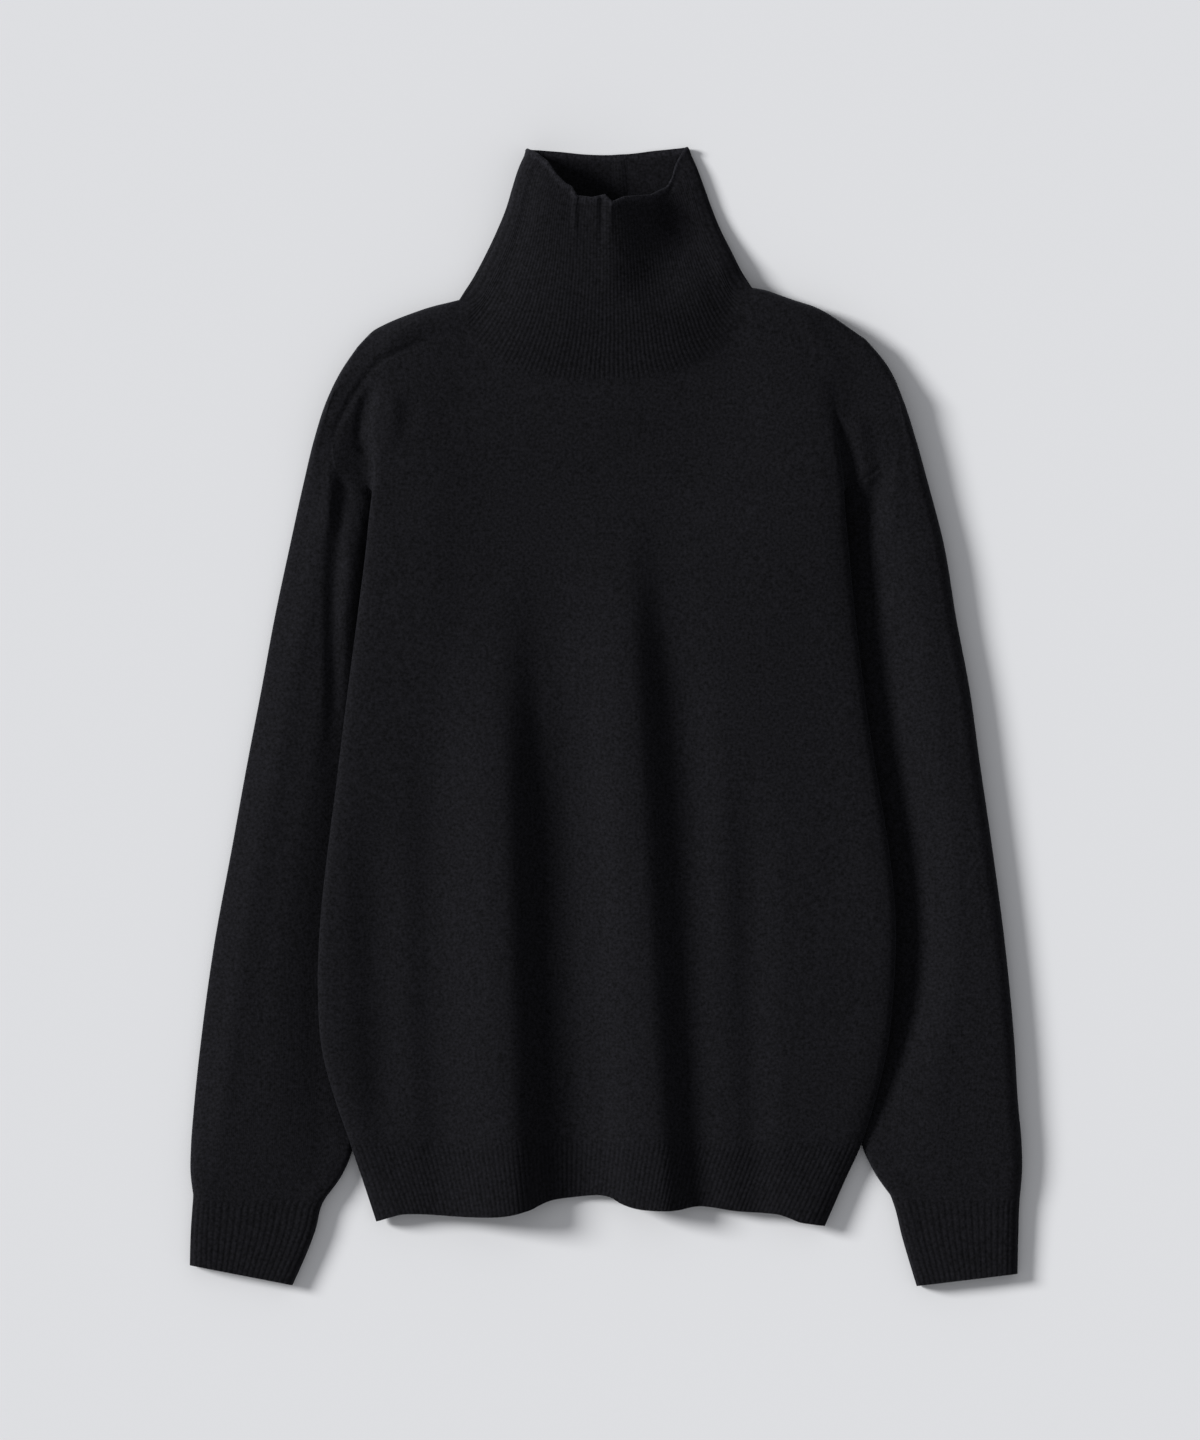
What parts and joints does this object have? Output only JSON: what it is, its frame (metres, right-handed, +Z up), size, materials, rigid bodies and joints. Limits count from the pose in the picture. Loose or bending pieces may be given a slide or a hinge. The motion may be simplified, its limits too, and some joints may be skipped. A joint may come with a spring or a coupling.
{
  "type": "turtleneck sweater",
  "caption": "Fine-knit turtleneck sweater laid flat on its back: high ribbed funnel collar, long sleeves, ribbed cuffs and hem, soft folds down the front.",
  "frame": {"origin": "middle of the laid sweater's outline, on the surface that it lies on", "axes": "+Y from the hem to the collar, +X across it to the picture's right, +Z up out of the front"},
  "size_m": [0.5778, 0.7907, 0.0384],
  "materials": {
    "knit": "matte fine stockinette knit, near black",
    "rib": "matte one-by-one rib knit, near black"
  },
  "bodies": {
    "root": {"front": "knit", "back": "knit", "sleeve_left": "knit", "sleeve_right": "knit", "neck_collar": "rib", "hem_rib_front": "rib", "hem_rib_back": "rib", "cuff_left": "rib", "cuff_right": "rib"}
  },
  "joints": []
}
